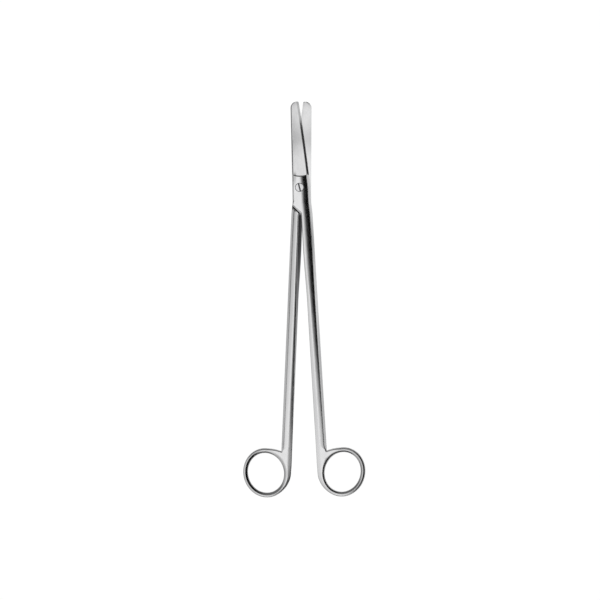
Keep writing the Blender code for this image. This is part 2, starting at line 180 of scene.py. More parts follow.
# How fine the grids are
IN_POINTS = 10
FACE_POINTS = 14
FACET_POINTS = 12
WALL_POINTS = 7
RING_POINTS = 220
TIP_ROWS = 40
BLADE_STEP = 0.8
SMILE_ROWS = 18
JOINT_STEP = 0.4
RIM_PARTS = (1.8, 1.4, 1, 0.7, 0.4, 0.18, 0.06, 0)
SHANK_ROWS = 70
NEAR_RING_STEP = 0.5
# Distances in mm over which the rows straighten again beyond the boss's end and the shoulder
SMILE_STRAIGHTENS = (1, 8)
SHOULDER_STRAIGHTENS = (1, 12)
EDGE_TRIES = 14

# The photograph's frame: its width in mm, the place at its middle and its turn
FIELD = 396.0
VIEW_MIDDLE = (0.36, -74.3)
VIEW_TURN = 0.52
CAMERA_HIGH = 3.0

# Finishes: base colours and roughness with how far each varies, and the depth of the marks in mm
STEEL = (0.77, 0.77, 0.775)
SCREW_STEEL = (0.74, 0.74, 0.75)
# Painted shade: the dark colour drawn into the gaps where the two halves meet and round the screw's head
PAINTED_SHADE_STEEL = (0.16, 0.16, 0.165)
TINT_SPREAD = 0.1
SCREW_TINT_SPREAD = 0.06
ROUGH = 0.21
ROUGH_SPREAD = 0.05
CLOUD_SPREAD = 0.02
SCREW_ROUGH = 0.22
SCREW_SPREAD = 0.03
DULL_ROUGH = 0.45
MARK_DEEP = 0.0014
STREAK_STRENGTH = 0.35
TURNING_STRENGTH = 0.3

# Noises: scale per mm and detail, the span that their values mostly keep to, and their roughness
FINE_STREAKS = (7.0, 4.0)
BROAD_STREAKS = (1.3, 3.0)
FINE_SHARE = 0.45
CLOUD = (0.16, 3.0)
TURNING = (9.0, 2)
SCREW_CLOUD = (0.6, 3.0)
NOISE_SPAN = (0.3, 0.7)
NOISE_ROUGH = 0.6
# How much smaller their scale is along the bar, and round the ring
FINE_STRETCH = (0.02, 0.03)
BROAD_STRETCH = (0.09, 0.09)

# Painted shade as a dark line round the screw's head: radius, how far off it begins and is full, and heights
# likewise
GAP_RADIUS = 2.78
GAP_OFF = (0.22, 0.088)
GAP_HIGH = (2.5, 3.5)
# Depth in the screw's slot where its painted shade begins and is full
SLOT_SHADE = (0.1, 0.4)

# Floor: half width in m, height in mm, its paint's and its glow's brightness
FLOOR_HALF = 1.5
FLOOR_HIGH = -0.05
FLOOR_PAINT = 0.9
FLOOR_GLOW = 1.1
# The glow's share in what the camera sees of the floor, and in what the steel reflects
GLOW_TO_CAMERA = 0.9
GLOW_TO_STEEL = 0.32

# Studio: the ceiling's brightness at the horizon and what it gains overhead
CEILING = (0.32, 0.5)
# Lamps: angle from overhead, compass angle from +X, inner and outer radius in degrees, strength
OVERHEAD_LAMP = (0, 0, 3, 20, 0.26)
RING_END_LAMP = (46, -90, 6, 28, 0.42)
# Shade towards the rings: its low and high y, and its factors there
RING_END_SHADE = (-0.5, 0.0, 0.86, 1.0)
# Curtains: the direction's part (0 for x, 1 for y), its low and high value, and the factors there
CURTAINS = (
    (0, 0.05, 0.42, 1.0, 0.0),
    (1, 0.15, 0.5, 1.0, 0.25),
    (0, -0.98, -0.72, 0.4, 1.0),
    (1, -0.87, -0.72, 0.12, 1.0),
)
# Lit strip at the foot of the right wall: its low and high x and strength, its high and low z
FOOT_ACROSS = (0.2, 0.5, 0, 0.85)
FOOT_HIGH = (0.32, 0.2)

# Worked out from the values above
HALF_JOINT = JOINT_THICK / 2
RING_CENTRE = np.array([RING_OFFSET, -RING_REACH])
CROTCH_ALONG = -RING_REACH + HOLE_LONG + CROTCH_GAP
SHOULDER_SLOPE = (SHOULDER_INNER - SHOULDER_OUTER) / (SHANK_OUTER_TOP - INNER_GAP)
SHOULDER_ROW = -SHOULDER_OUTER - SHOULDER_SLOPE * SHANK_OUTER_TOP


def smooth(value, low, high):
    """0 below low, 1 above high, and an S curve between them."""
    part = np.clip((value - low) / (high - low), 0, 1)
    return part * part * (3 - 2 * part)


def mix(first, second, part):
    return first + (second - first) * part


def curve_rise(x, y):
    """How far the blades have curved up: an arc on the distance from the pivot.

    The distance has a limit, so that the root stays real.
    """
    past = np.clip(np.hypot(x, y) - CURVE_START, 0, CURVE_RADIUS * 0.9)
    return np.where(y > 0, CURVE_RADIUS - np.sqrt(CURVE_RADIUS**2 - past**2), 0)


def back_edge(along):
    """The blade's back: a straight line, and a quarter of an oval round the tip."""
    start = TIP_REACH - TIP_ROUND
    side = -BACK_AT_PIVOT + (BACK_AT_PIVOT - BACK_AT_TIP) / start * along
    bend = np.sqrt(1 - np.clip((along - start) / TIP_ROUND, 0, 1) ** 2)
    return side * bend + (1 - bend) * (-BACK_AT_TIP + TIP_ROUND)


def cutting_edge(along):
    """The cutting edge: a straight line plus a parabola for its belly, and a small tip corner."""
    part = (TIP_REACH - along) / TIP_REACH
    side = mix(EDGE_AT_TIP, EDGE_AT_PIVOT, part) + 4 * EDGE_BELLY * part * (1 - part)
    corner = np.sqrt(1 - np.clip((along - TIP_REACH + TIP_CORNER) / TIP_CORNER, 0, 1) ** 2)
    return side - TIP_CORNER * (1 - corner)


def shank_outer(along):
    """The outer side below the joint: waisted at the lap, then straight to the ring."""
    down = np.clip(-along - SHOULDER_INNER, 0, RING_REACH)
    slope = (SHANK_OUTER_RING - SHANK_OUTER_TOP) / (RING_REACH - SHOULDER_INNER)
    waist = WAIST * smooth(along, -SHOULDER_INNER - 1, -DIAGONAL_OUTER + 3)
    return SHANK_OUTER_TOP + slope * down - waist


def right_edge(along):
    """The right side: the cutting edge above the pivot, and below it the shank's outer side."""
    below = mix(EDGE_AT_PIVOT, shank_outer(along), smooth(-along, 0, EDGE_TO_SHANK))
    return np.where(along > 0, cutting_edge(along), below)


def scarf(along):
    """How far the inner side leans over the centre plane, so that the closed shanks lap."""
    upper = smooth(along, -SCARF_RUN - SCARF_SOFT, -SCARF_RUN + SCARF_SOFT)
    lower = np.clip((along + SCARF_END) / (SCARF_END - SCARF_RUN), 0, 1)
    return SCARF * (0.5 * upper + 0.5 * lower)


def left_edges(along):
    """The left side at the top, on the lap plane and at the bottom."""
    middle = INNER_GAP / 2 + 0.1 * smooth(-along, SCARF_END, RING_REACH)
    lean = scarf(along)
    part = np.clip((along + DIAGONAL_INNER) / (DIAGONAL_INNER - DIAGONAL_OUTER), 0, 1)
    outline = mix(middle - lean, back_edge(-DIAGONAL_OUTER), part)
    outline = np.where(along > -DIAGONAL_OUTER, back_edge(along), outline)
    part = np.clip((along - SHOULDER_LEAN + DIAGONAL_INNER) / (DIAGONAL_INNER - DIAGONAL_OUTER), 0, 1)
    on_lap = np.maximum(outline, mix(middle - lean, back_edge(-DIAGONAL_OUTER), part))
    on_lap = mix(on_lap, middle, smooth(-along, DIAGONAL_INNER - 1.5, DIAGONAL_INNER + 1.2))
    return outline, on_lap, mix(outline, middle + lean, smooth(-along, DIAGONAL_INNER - 3, DIAGONAL_INNER))


def half_thick(along):
    """Half the thickness: it falls from the joint to the shank, and again to the ring."""
    shank = mix(HALF_JOINT, SHANK_THICK / 2, smooth(-along, SHOULDER_OUTER, SHOULDER_INNER + JOINT_TAPER))
    start, end = RING_TAPER
    return mix(shank, RING_THICK / 2, smooth(-along, RING_REACH - start, RING_REACH - end))


def quarter(part):
    """A quarter circle's height, from 0 at the edge to 1 at the end of the rounding."""
    return np.sqrt(1 - (1 - np.clip(part, 0, 1)) ** 2)


def rounded(distance, wide, keep, corner_keep, corner=EDGE_CORNER):
    """Share of the height at a distance from an edge: a small corner, then a nearly straight slope."""
    slope = 1 - (1 - np.clip(distance / wide, 0, 1)) ** SLOPE_BEND
    return mix(keep, 1, slope) * mix(corner_keep, 1, quarter(distance / corner))


def lens(part, rise):
    """The outer side's rounding: a facet up to a share of the height, then a parabola to 1.

    The corner between them is softened: half of their sum less the root of their difference
    squared plus a small square.
    """
    part = np.clip(part, 0, 1)
    facet = rise * part / FACET
    arc = 1 - (1 - rise) * ((1 - part) / (1 - FACET)) ** 2
    soft = FACET_SOFT * np.clip(4 * part, 0, 1) * np.clip(4 * (1 - part), 0, 1)
    return (facet + arc - np.sqrt((facet - arc) ** 2 + soft**2)) / 2


def to_ring(along):
    """0 at the joint, 1 at the crotch where the ring begins."""
    return smooth(-along, SHOULDER_INNER, -CROTCH_ALONG)


def facet_rise(along):
    """Share of the height that the outer side's facet climbs."""
    return mix(FACET_RISE_JOINT, FACET_RISE_RING, to_ring(along))


def outer_wide(along):
    """Width of the outer side's rounding: it runs out just above the crotch."""
    wide = mix(OUTER_ROUND_JOINT, OUTER_ROUND_RING, to_ring(along))
    return mix(wide, CROTCH_ROUND, smooth(-along, -CROTCH_ALONG - CROTCH_RUN, -CROTCH_ALONG))


def inner_wide(along):
    """Width of the inner side's rounding: it widens as the wall below it leans less.

    It is narrow on the diagonal where the lap ends.
    """
    shank = mix(INNER_ROUND, INNER_ROUND_JOINT, scarf(along) / SCARF)
    wide = mix(BACK_ROUND, shank, smooth(-along, DIAGONAL_OUTER, SHOULDER_INNER + 8))
    diagonal = smooth(-along, DIAGONAL_OUTER - 2, DIAGONAL_OUTER)
    diagonal = diagonal * smooth(along, -DIAGONAL_INNER - 2, -DIAGONAL_INNER)
    return wide * (1 - DIAGONAL_NARROW * diagonal)


def inner_keep(along):
    """Share of the height that the inner edge keeps: little at the back, more on the shank."""
    shank = mix(EDGE_KEEP, EDGE_KEEP_JOINT, scarf(along) / SCARF)
    return mix(BACK_KEEP, shank, smooth(-along, DIAGONAL_OUTER - 4, DIAGONAL_OUTER))


def smile(across):
    """How far beyond its middle the boss's curved end reaches: a parabola across the joint."""
    middle = (BACK_AT_PIVOT - EDGE_AT_PIVOT) / 2
    return SMILE_DEPTH * ((across + middle) / BACK_AT_PIVOT) ** 2


def shank_high(across, along, left):
    """Height of the joint's and the shank's upper side: a product of its two side roundings.

    The inner edge keeps most of the height, and the outer side comes down in a long rounding.
    """
    near = rounded(across - left, inner_wide(along), inner_keep(along), CORNER_KEEP)
    far = lens((right_edge(along) - across) / outer_wide(along), facet_rise(along))
    return SIDE_FLAT + (half_thick(along) - SIDE_FLAT) * near * far


def blade_high(across, along, left):
    """Height of the blade's outer face: thickest at the back, with the ground bevel at the edge.

    The bevel falls in a shallow straight slope to its knee, and then steeply to the edge.
    """
    right = right_edge(along)
    part = np.clip((across - left) / np.maximum(right - left, 0.1), 0, 1)
    back = mix(BLADE_ROOT_THICK, BLADE_TIP_THICK, np.clip(along / TIP_REACH, 0, 1))
    edge = mix(EDGE_THICK_ROOT, EDGE_THICK, np.clip(along / EDGE_THICK_RUN, 0, 1))
    face = mix(back, np.minimum(edge, back), part)
    round_off = rounded(across - left, BACK_ROUND, BACK_KEEP, CORNER_KEEP)
    blunt = mix(TIP_KEEP, 1.0, quarter((TIP_REACH - along) / BACK_ROUND))
    face = face * round_off * blunt
    foot = LAP_GAP / 2 + EDGE_LAND
    knee = face - mix(BEVEL_DEEP, BEVEL_AT_TIP, smooth(along, *BEVEL_FADE))
    off = right - across
    bevel = knee + (face - knee) * np.clip((off - EDGE_KNEE) / (EDGE_BEVEL - EDGE_KNEE), 0, 1)
    return np.where(off < EDGE_KNEE, mix(foot, knee, off / EDGE_KNEE), bevel)


def upper_side(across, along, left):
    """The whole upper side: the raised joint boss ends in a curved step down to the blade.

    Near the back the step fades into a long slope.
    """
    end = BOSS_REACH + smile(across)
    sharp = smooth(across - left, *SMILE_FADE)
    at_back = smooth(along, BOSS_REACH - BACK_STEP[0], BOSS_REACH + BACK_STEP[1])
    on_blade = mix(at_back, smooth(along, end, end + SMILE_STEP), sharp)
    return mix(shank_high(across, along, left), blade_high(across, along, left), on_blade)


def lower_side(across, along, past):
    """The lower side, from how far a place is past the shoulder line towards the tips.

    Below the line it is the upper side turned over, with a rounded rim. Above it the lap face,
    with the blade's shallow hollow, a parabola across.
    """
    left, right = left_edges(along)[0], right_edge(along)
    under = -shank_high(mirrored_back(across, along), along, left)
    under = under + SHOULDER_RIM * (1 - quarter(-past / SHOULDER_RIM))
    part = np.clip((across - left) / np.maximum(right - left, 0.1), 0, 1)
    lap = LAP_GAP / 2 + HOLLOW * 4 * part * (1 - part) * smooth(along, BOSS_REACH, BOSS_REACH + HOLLOW_RUN)
    return np.where(past > SHOULDER_LEAN / 2, lap, np.minimum(under, -SIDE_FLAT))


def mirrored_back(across, along):
    """The place on the upper side that a place on the leaning lower side is turned over from."""
    top, _, bottom = left_edges(along)
    right = right_edge(along)
    return top + (across - bottom) * (right - top) / (right - bottom)


def bent(across, row):
    """Where a row lies along the bar: it bends with the boss's end and slants with the shoulder."""
    with_smile = 1 - smooth(np.abs(row - BOSS_REACH), *SMILE_STRAIGHTENS)
    with_shoulder = 1 - smooth(np.abs(row - SHOULDER_ROW), *SHOULDER_STRAIGHTENS)
    return row + smile(across) * with_smile + SHOULDER_SLOPE * across * with_shoulder


def edge_place(edge, row):
    """Where rows meet an edge, given as a function of along: each guess is averaged with the next."""
    along = row
    for _ in range(EDGE_TRIES):
        along = (along + bent(edge(along), row)) / 2
    return along


def side_wall(from_high, to_high, from_along, to_along):
    """The slanted inner side between two heights: straight from the lap plane to top and bottom."""
    part = np.linspace(0, 1, WALL_POINTS)
    high = mix(from_high, to_high, part)
    along = mix(from_along, to_along, part)
    top, level, bottom = left_edges(along)
    reach = np.maximum(shank_high(top, along, top), SIDE_FLAT)
    lean = np.where(high > 0, top - level, level - bottom)
    return level + lean * np.clip(high / reach, -1, 1), along, high


def row_places():
    """Places of the rows: close together at the tip, the boss's end, the shoulder and the lap's end."""
    turn = np.linspace(0, math.pi / 2, TIP_ROWS)[:-1]
    tip = TIP_REACH - TIP_ROUND * (1 - np.sin(turn))
    tip = np.concatenate([tip, TIP_REACH - TIP_CORNER * (1 - np.sin(turn))])
    blade = np.arange(BOSS_REACH + 1, TIP_REACH - TIP_ROUND, BLADE_STEP)
    step = BOSS_REACH + SMILE_STEP * np.linspace(-0.3, 1.4, SMILE_ROWS)
    joint = np.arange(SHOULDER_ROW + SHOULDER_LEAN, BOSS_REACH - 0.3, JOINT_STEP)
    rim = SHOULDER_ROW - SHOULDER_RIM * np.array(RIM_PARTS)
    below = np.arange(SHOULDER_ROW - 6, SHOULDER_ROW - 0.5, JOINT_STEP)
    shank = np.linspace(CROTCH_ALONG, SHOULDER_ROW - 6.8, SHANK_ROWS)
    near_ring = CROTCH_ALONG + np.arange(0.3, 6, NEAR_RING_STEP)
    rows = np.concatenate([tip, blade, step, joint, rim, below, shank, near_ring])
    return np.unique(np.round(rows, 5))[:, None]


def across_places(left, right, row):
    """Columns of the grid from the left to the right edge: crowded at both, and at the facet."""
    first = left + inner_wide(row) * (1 - np.cos(np.linspace(0, math.pi / 2, IN_POINTS)))
    on_blade = smooth(row, BOSS_REACH + SMILE_STEP, BOSS_REACH + 5)
    facet = mix(FACET * outer_wide(row), EDGE_BEVEL, on_blade)
    last = right - facet * mix(1.25, 0, 1 - (1 - np.linspace(0, 1, FACET_POINTS)) ** 1.4)
    flat = mix(first[:, -1:], last[:, :1], np.linspace(0, 1, FACE_POINTS + 2)[1:-1])
    return np.concatenate([first, flat, last], axis=1)


def bar():
    """The bar from the cut line at the ring to the tip, as closed loops of points round each row.

    A loop runs up the left wall, over the upper side, down the right edge and back underneath.
    """
    row = row_places()
    past = row - SHOULDER_ROW
    top_along = edge_place(lambda along: left_edges(along)[0], row)
    right_along = edge_place(right_edge, row)
    across = across_places(left_edges(top_along)[0], right_edge(right_along), row)
    along = bent(across, row)
    along[:, :1], along[:, -1:] = top_along, right_along
    upper = upper_side(across, along, left_edges(along)[0])

    def low_edge(along):
        return np.where(past > SHOULDER_LEAN / 2, left_edges(along)[1], left_edges(along)[2])

    low_along = edge_place(low_edge, row)
    low_across = across_places(low_edge(low_along), right_edge(right_along), row)
    low_place = bent(low_across, row)
    low_place[:, :1], low_place[:, -1:] = low_along, right_along
    lower = lower_side(low_across, low_place, np.broadcast_to(past, low_across.shape))

    left_wall = side_wall(lower[:, :1], upper[:, :1], low_along, top_along)
    on_upper = [array[:, 1:-1] for array in (across, along, upper)]
    part = np.linspace(0, 1, WALL_POINTS)
    right_high = mix(upper[:, -1:], lower[:, -1:], part)
    right_wall = [np.repeat(array, WALL_POINTS, axis=1) for array in (right_edge(right_along), right_along)]
    on_lower = [array[:, -2:0:-1] for array in (low_across, low_place, lower)]
    joined = zip(left_wall, on_upper, [*right_wall, right_high], on_lower)
    return np.stack([np.concatenate(parts, axis=1) for parts in joined], axis=2)


def oval(angle):
    """Distance from the ring's centre to its leaning oval hole."""
    turned = angle - math.pi / 2 + math.radians(HOLE_LEAN)
    return HOLE_SHORT * HOLE_LONG / np.hypot(HOLE_LONG * np.sin(turned), HOLE_SHORT * np.cos(turned))


def on_ring(angle, reach):
    """Places at angles and distances from the ring's centre."""
    return RING_CENTRE + np.stack([reach * np.cos(angle), reach * np.sin(angle)], axis=-1)


def fade(angle, degrees):
    """0 before the first of two angles in degrees, 1 after the second, and an S curve between them."""
    return smooth(angle, math.radians(degrees[0]), math.radians(degrees[1]))


def past_shank(angle):
    """0 where the ring's outline is still the shank's straight inner side, 1 where it is the band."""
    return fade(angle, SHANK_TO_BAND)


def at_crotch(angle, last):
    """1 at the crotch's angle, falling to 0 where the ring has its plain round band."""
    return np.clip(1 - (last - angle) / math.radians(WEB_RUN), 0, 1)


def ring_outside(angle, crotch, last):
    """Distance from the ring's centre to its outline: the band, and a small web up to the crotch."""
    extra = BAND_EXTRA * (1 - fade(angle, EXTRA_FADE))
    band = oval(angle) + BAND + extra
    straight = (RING_OFFSET - left_edges(CROTCH_ALONG)[0]) / np.clip(-np.cos(angle), 0.5, 1)
    web = math.dist(crotch, RING_CENTRE) - oval(last) - BAND
    return mix(straight, band, past_shank(angle)) + web * at_crotch(angle, last) ** WEB_BEND


def outer_round(angle, ring_round):
    """Width of the outline's rounding: the shank's inner one narrows to the band's."""
    return mix(INNER_ROUND, ring_round, fade(angle, ROUND_FADE))


def off_shank(angle):
    """Distance from the outline for a step along a spoke: the shank's straight side is met aslant."""
    return mix(-np.cos(angle), 1, past_shank(angle))


def hole_side(distance, hole_round):
    """The band slopes down to its hole, with a rounded corner at the hole's edge."""
    slope = mix(HOLE_KEEP, 1, 1 - (1 - np.clip(distance / hole_round, 0, 1)) ** HOLE_BEND)
    return slope * quarter(distance / HOLE_CORNER)


def spokes(start, angle, wide, outside, hole_round):
    """Upper side along straight spokes from starting points in to the hole's edge.

    The height is the product of the outline's rounding, given as a function, and the hole's.
    """
    hole = on_ring(angle, oval(angle))
    reach = np.hypot(*np.moveaxis(hole - start, -1, 0))[:, None]
    spread = 1 - np.cos(np.linspace(0, math.pi / 2, IN_POINTS))
    wide = np.minimum(wide[:, None], reach - hole_round - CREST)
    crest = mix(wide / reach, 1 - hole_round / reach, np.array([0.33, 0.67]))
    part = np.concatenate([spread * wide / reach, crest, 1 - spread[::-1] * hole_round / reach], axis=1)
    line = start[:, None] + (hole - start)[:, None] * part[..., None]
    high = outside(line, part * reach) * hole_side((1 - part) * reach, hole_round)
    high = SIDE_FLAT + (half_thick(line[..., 1]) - SIDE_FLAT) * high
    return np.concatenate([line, high[..., None]], axis=2)


def ring(first_row):
    """The finger ring: the free band as closed loops, and the spokes that join it to the bar.

    The band's crest lies in its middle on the upper side and nearer the outline on the lower.
    """
    corner = first_row[WALL_POINTS - 1, :2]
    crotch = first_row[WALL_POINTS + across_count() - 2, :2]
    first = math.atan2(*(corner - RING_CENTRE)[::-1])
    last = math.atan2(*(crotch - RING_CENTRE)[::-1]) + 2 * math.pi
    angle = np.linspace(first, last, RING_POINTS)
    near = at_crotch(angle, last)
    start = on_ring(angle, ring_outside(angle, crotch, last))
    spot = first_row[WALL_POINTS - 1 : WALL_POINTS + across_count() - 1, :2]
    heading = np.arctan2(*(spot - RING_CENTRE).T[::-1])

    def one_side(ring_round, hole_round):
        def band_rounding(line, distance):
            off = distance * off_shank(angle)[:, None]
            band = fade(angle, KEEP_FADE)[:, None]
            keeps = mix(EDGE_KEEP, RING_KEEP, band), mix(CORNER_KEEP, RING_CORNER_KEEP, band)
            corner_wide = mix(EDGE_CORNER, RING_CORNER, band)
            plain = rounded(off, outer_round(angle, ring_round)[:, None], *keeps, corner_wide)
            at_web = lens(distance / CROTCH_ROUND, FACET_RISE_RING)
            return mix(plain, at_web, smooth(near, 0, 1)[:, None])

        def bar_rounding(line, distance):
            inside = rounded(line[..., 0] - corner[0], INNER_ROUND, EDGE_KEEP, CORNER_KEEP)
            away = np.hypot(*np.moveaxis(line - crotch, -1, 0))
            return inside * lens(away / CROTCH_ROUND, FACET_RISE_RING)

        wide = mix(outer_round(angle, ring_round) / off_shank(angle), CROTCH_ROUND, near)
        free = spokes(start, angle, wide, band_rounding, hole_round)
        wide = mix(wide[0], CROTCH_ROUND, np.linspace(0, 1, len(spot)))
        joined = spokes(spot, heading, wide, bar_rounding, hole_round)
        return free, np.concatenate([joined, joined[:, -1:] * [1, 1, 0]], axis=1)

    (above, joined_above), (below, joined_below) = one_side(*UPPER_RING), one_side(*LOWER_RING)
    up = np.linspace(-1, 1, WALL_POINTS)[:, None]
    wall = above[:, :1] * [1, 1, 0] + above[:, :1] * [0, 0, 1] * up
    hole = above[:, -1:] * [1, 1, 0]
    loops = np.concatenate([wall, above[:, 1:], hole, turned_over(below[:, :0:-1])], axis=1)
    return loops, joined_above, turned_over(joined_below)


def across_count():
    """Columns of the bar's upper side, with both edges."""
    return IN_POINTS + FACE_POINTS + FACET_POINTS


def turned_over(points):
    """Points mirrored in the lap plane."""
    return points * [1, 1, -1]


def grid_faces(rows, columns, closed, start):
    """Quads between neighbours of a grid of points, closed round each row or not."""
    number = start + np.arange(rows * columns).reshape(rows, columns)
    if closed:
        number = np.concatenate([number, number[:, :1]], axis=1)
    corners = [number[:-1, :-1], number[:-1, 1:], number[1:, 1:], number[1:, :-1]]
    return np.stack([corner.ravel() for corner in corners], axis=1)


def half_grids():
    """All grids of a half as (points, closed round each row)."""
    rows = bar()
    loops, joined_above, joined_below = ring(rows[0])
    return [(rows, True), (loops, True), (joined_above, False), (joined_below, False)]


def placed(points, side):
    """Points of a half in the frame of the scissors: side is 1 for the front half, -1 for the back."""
    x = PIVOT_OFFSET + side * points[:, 0]
    y = points[:, 1]
    z = HALF_JOINT + curve_rise(x, y) + side * points[:, 2]
    turn = side * math.radians(OPEN_AT_REST / 2)
    spun = [x * math.cos(turn) - y * math.sin(turn), x * math.sin(turn) + y * math.cos(turn), z]
    return np.stack(spun, axis=1) * MM


def new_piece(name, points, faces):
    """A mesh from points in metres: doubles merged, faces turned outwards, at the origin unturned."""
    mesh = bpy.data.meshes.new(name)
    mesh.from_pydata(points, [], faces)
    shape = bmesh.new()
    shape.from_mesh(mesh)
    bmesh.ops.remove_doubles(shape, verts=shape.verts, dist=MERGE_WITHIN)
    bmesh.ops.recalc_face_normals(shape, faces=shape.faces)
    if shape.calc_volume(signed=True) < 0:
        bmesh.ops.reverse_faces(shape, faces=shape.faces)
    shape.to_mesh(mesh)
    shape.free()
    piece = bpy.data.objects.new(name, mesh)
    bpy.context.scene.collection.objects.link(piece)
    mesh.shade_smooth()
    return piece


def cut(piece, cutter):
    """Cuts a solid from a piece for good, and marks the sharp edges."""
    modifier = piece.modifiers.new(cutter.name, "BOOLEAN")
    modifier.operation = "DIFFERENCE"
    modifier.object = cutter
    seen = piece.evaluated_get(bpy.context.evaluated_depsgraph_get())
    piece.data = bpy.data.meshes.new_from_object(seen)
    piece.modifiers.clear()
    bpy.data.objects.remove(cutter)
    piece.data.set_sharp_from_angle(angle=math.radians(SHARP_ANGLE))


def dress(piece, material):
    """Gives a piece its only material."""
    piece.data.materials.clear()
    piece.data.materials.append(material)


def turned_solid(name, profile):
    """A solid turned about Z: a profile of (radius, z) pairs carried round a circle."""
    radius, high = np.array(profile, float).T
    angle = np.linspace(0, 2 * math.pi, ROUND_FACES, endpoint=False)[:, None]
    points = np.stack([radius * np.cos(angle), radius * np.sin(angle), high + 0 * angle], axis=2)
    rows, columns = points.shape[:2]
    number = np.arange(rows * columns).reshape(rows, columns)
    number = np.concatenate([number, number[:1]])
    corners = [number[:-1, :-1], number[1:, :-1], number[1:, 1:], number[:-1, 1:]]
    faces = np.stack([corner.ravel() for corner in corners], axis=1)
    return new_piece(name, points.reshape(-1, 3) * MM, faces.tolist())


def make_half(name, node, side, steel):
    """A half with its hole for the screw: side is 1 for the front half, -1 for the back."""
    points, faces, count = [], [], 0
    grids = half_grids()
    for grid, closed in grids:
        rows, columns = grid.shape[:2]
        points.append(grid.reshape(-1, 3))
        faces += grid_faces(rows, columns, closed, count).tolist()
        count += rows * columns
    rows, columns = grids[0][0].shape[:2]
    faces.append(list(range((rows - 1) * columns, rows * columns)))
    piece = new_piece(name, placed(np.concatenate(points), side), faces)
    low, high = -HOLE_BEYOND, JOINT_THICK + HOLE_BEYOND
    if side > 0:
        hole, seat = SCREW_SHANK / 2 + RUNNING_GAP, SCREW_HEAD / 2 + HEAD_GAP
        floor = JOINT_THICK - HEAD_DEEP - RUNNING_GAP
        profile = [(0, low), (hole, low), (hole, floor), (seat, floor), (seat, high), (0, high)]
    else:
        hole = SCREW_SHANK / 2 + THREAD_GAP
        profile = [(0, low), (hole, low), (hole, high), (0, high)]
    cut(piece, turned_solid(name + "_hole", profile))
    mark_finish(piece, side)
    dress(piece, steel)
    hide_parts(node)
    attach(piece, "front_body" if side > 0 else "back_body")


def make_screw(steel):
    """Slotted screw with a softened rim, and its end set flush under the back half."""
    shank, head, under = SCREW_SHANK / 2, SCREW_HEAD / 2, JOINT_THICK - HEAD_DEEP
    bend = np.linspace(0, math.pi / 2, 7)
    rim = [(head - HEAD_EDGE * (1 - math.cos(a)), JOINT_THICK - HEAD_EDGE * (1 - math.sin(a))) for a in bend]
    end = [(0, 0), (shank - END_CHAMFER, 0), (shank, END_CHAMFER)]
    profile = [*end, (shank, under), (head, under), *rim, (0, JOINT_THICK)]
    screw = turned_solid("slotted_joint_screw", profile)
    corners = np.array([(x, y, z) for x in (-1, 1) for y in (-1, 1) for z in (0, 1)], float)
    corners *= [SLOT_WIDE / 2, SCREW_HEAD, 1.0]
    turn = math.radians(SLOT_TURN)
    spin = np.array([[math.cos(turn), math.sin(turn), 0], [-math.sin(turn), math.cos(turn), 0], [0, 0, 1]])
    sides = [(0, 1, 3, 2), (4, 6, 7, 5), (0, 4, 5, 1), (2, 3, 7, 6), (0, 2, 6, 4), (1, 5, 7, 3)]
    slot = new_piece("screw_slot", (corners @ spin + [0, 0, JOINT_THICK - SLOT_DEEP]) * MM, sides)
    slot.data.shade_flat()
    cut(screw, slot)
    dress(screw, steel)
    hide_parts("joint_screw")
    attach(screw, "back_body")


def add_node(tree, kind, inputs=(), **settings):
    """A new node with its settings, and its inputs as values or links, in order; None skips one."""
    made = tree.nodes.new(kind)
    for name, value in settings.items():
        setattr(made, name, value)
    for place, value in enumerate(inputs):
        if isinstance(value, bpy.types.NodeSocket):
            tree.links.new(value, made.inputs[place])
        elif value is not None:
            made.inputs[place].default_value = value
    return made


def ramp(tree, value, low, high, at_low=0.0, at_high=1.0):
    """An S curve from one value to another while the input goes from low to high."""
    inputs = [value, low, high, at_low, at_high]
    return add_node(tree, "ShaderNodeMapRange", inputs, interpolation_type="SMOOTHSTEP").outputs[0]


def sums(tree, operation, first, second):
    """A Math node's result."""
    return add_node(tree, "ShaderNodeMath", [first, second], operation=operation).outputs[0]


def unplaced(points, side):
    """The across, along and high of points in metres: placed() turned round."""
    x, y, z = (points / MM).T
    turn = -side * math.radians(OPEN_AT_REST / 2)
    x, y = x * math.cos(turn) - y * math.sin(turn), x * math.sin(turn) + y * math.cos(turn)
    return side * (x - PIVOT_OFFSET), y, side * (z - HALF_JOINT - curve_rise(x, y))


# Painted shade: the places where the halves meet and shade falls, drawn as darker, rougher steel
def shade_and_dull_places(across, along, high):
    """Where shade is painted in as darker, duller steel, as 0 to 1.

    It is 1 on the shoulder, on its foot and on the edge of the diagonal, where the two halves meet
    and shade falls. On the shank's slanted inner wall it fades from 1 to 0 towards the ring. The
    small lengths are margins in mm, so that the points on a rim count with it.
    """
    top, level, bottom = left_edges(along)
    edge = np.maximum(shank_high(top, along, top), SIDE_FLAT)
    lean = np.where(high > 0, top - level, level - bottom)
    wall = level + lean * np.clip(high / edge, -1, 1)
    on_wall = (np.abs(across - wall) < 0.02) & (np.abs(high) < edge * 0.99) & (along < SHOULDER_ROW)
    on_wall = on_wall * smooth(along, -SCARF_END, -SHOULDER_INNER - 12)

    past = along - SHOULDER_ROW - SHOULDER_SLOPE * across
    near_rim = (past > -SHOULDER_RIM * 1.5) & (past < 0.01)
    shoulder = (high < -SIDE_FLAT / 2) & near_rim & (across > level - 0.1)
    foot = (np.abs(high - LAP_GAP / 2) < 0.03) & (past > 0) & (past < SHOULDER_LEAN + 0.3)
    on_diagonal = (along > -DIAGONAL_INNER - 0.6) & (along < -DIAGONAL_OUTER + 0.2) & (across - top < 0.22)
    return np.maximum(on_wall, (shoulder | foot | on_diagonal) * 1.0)


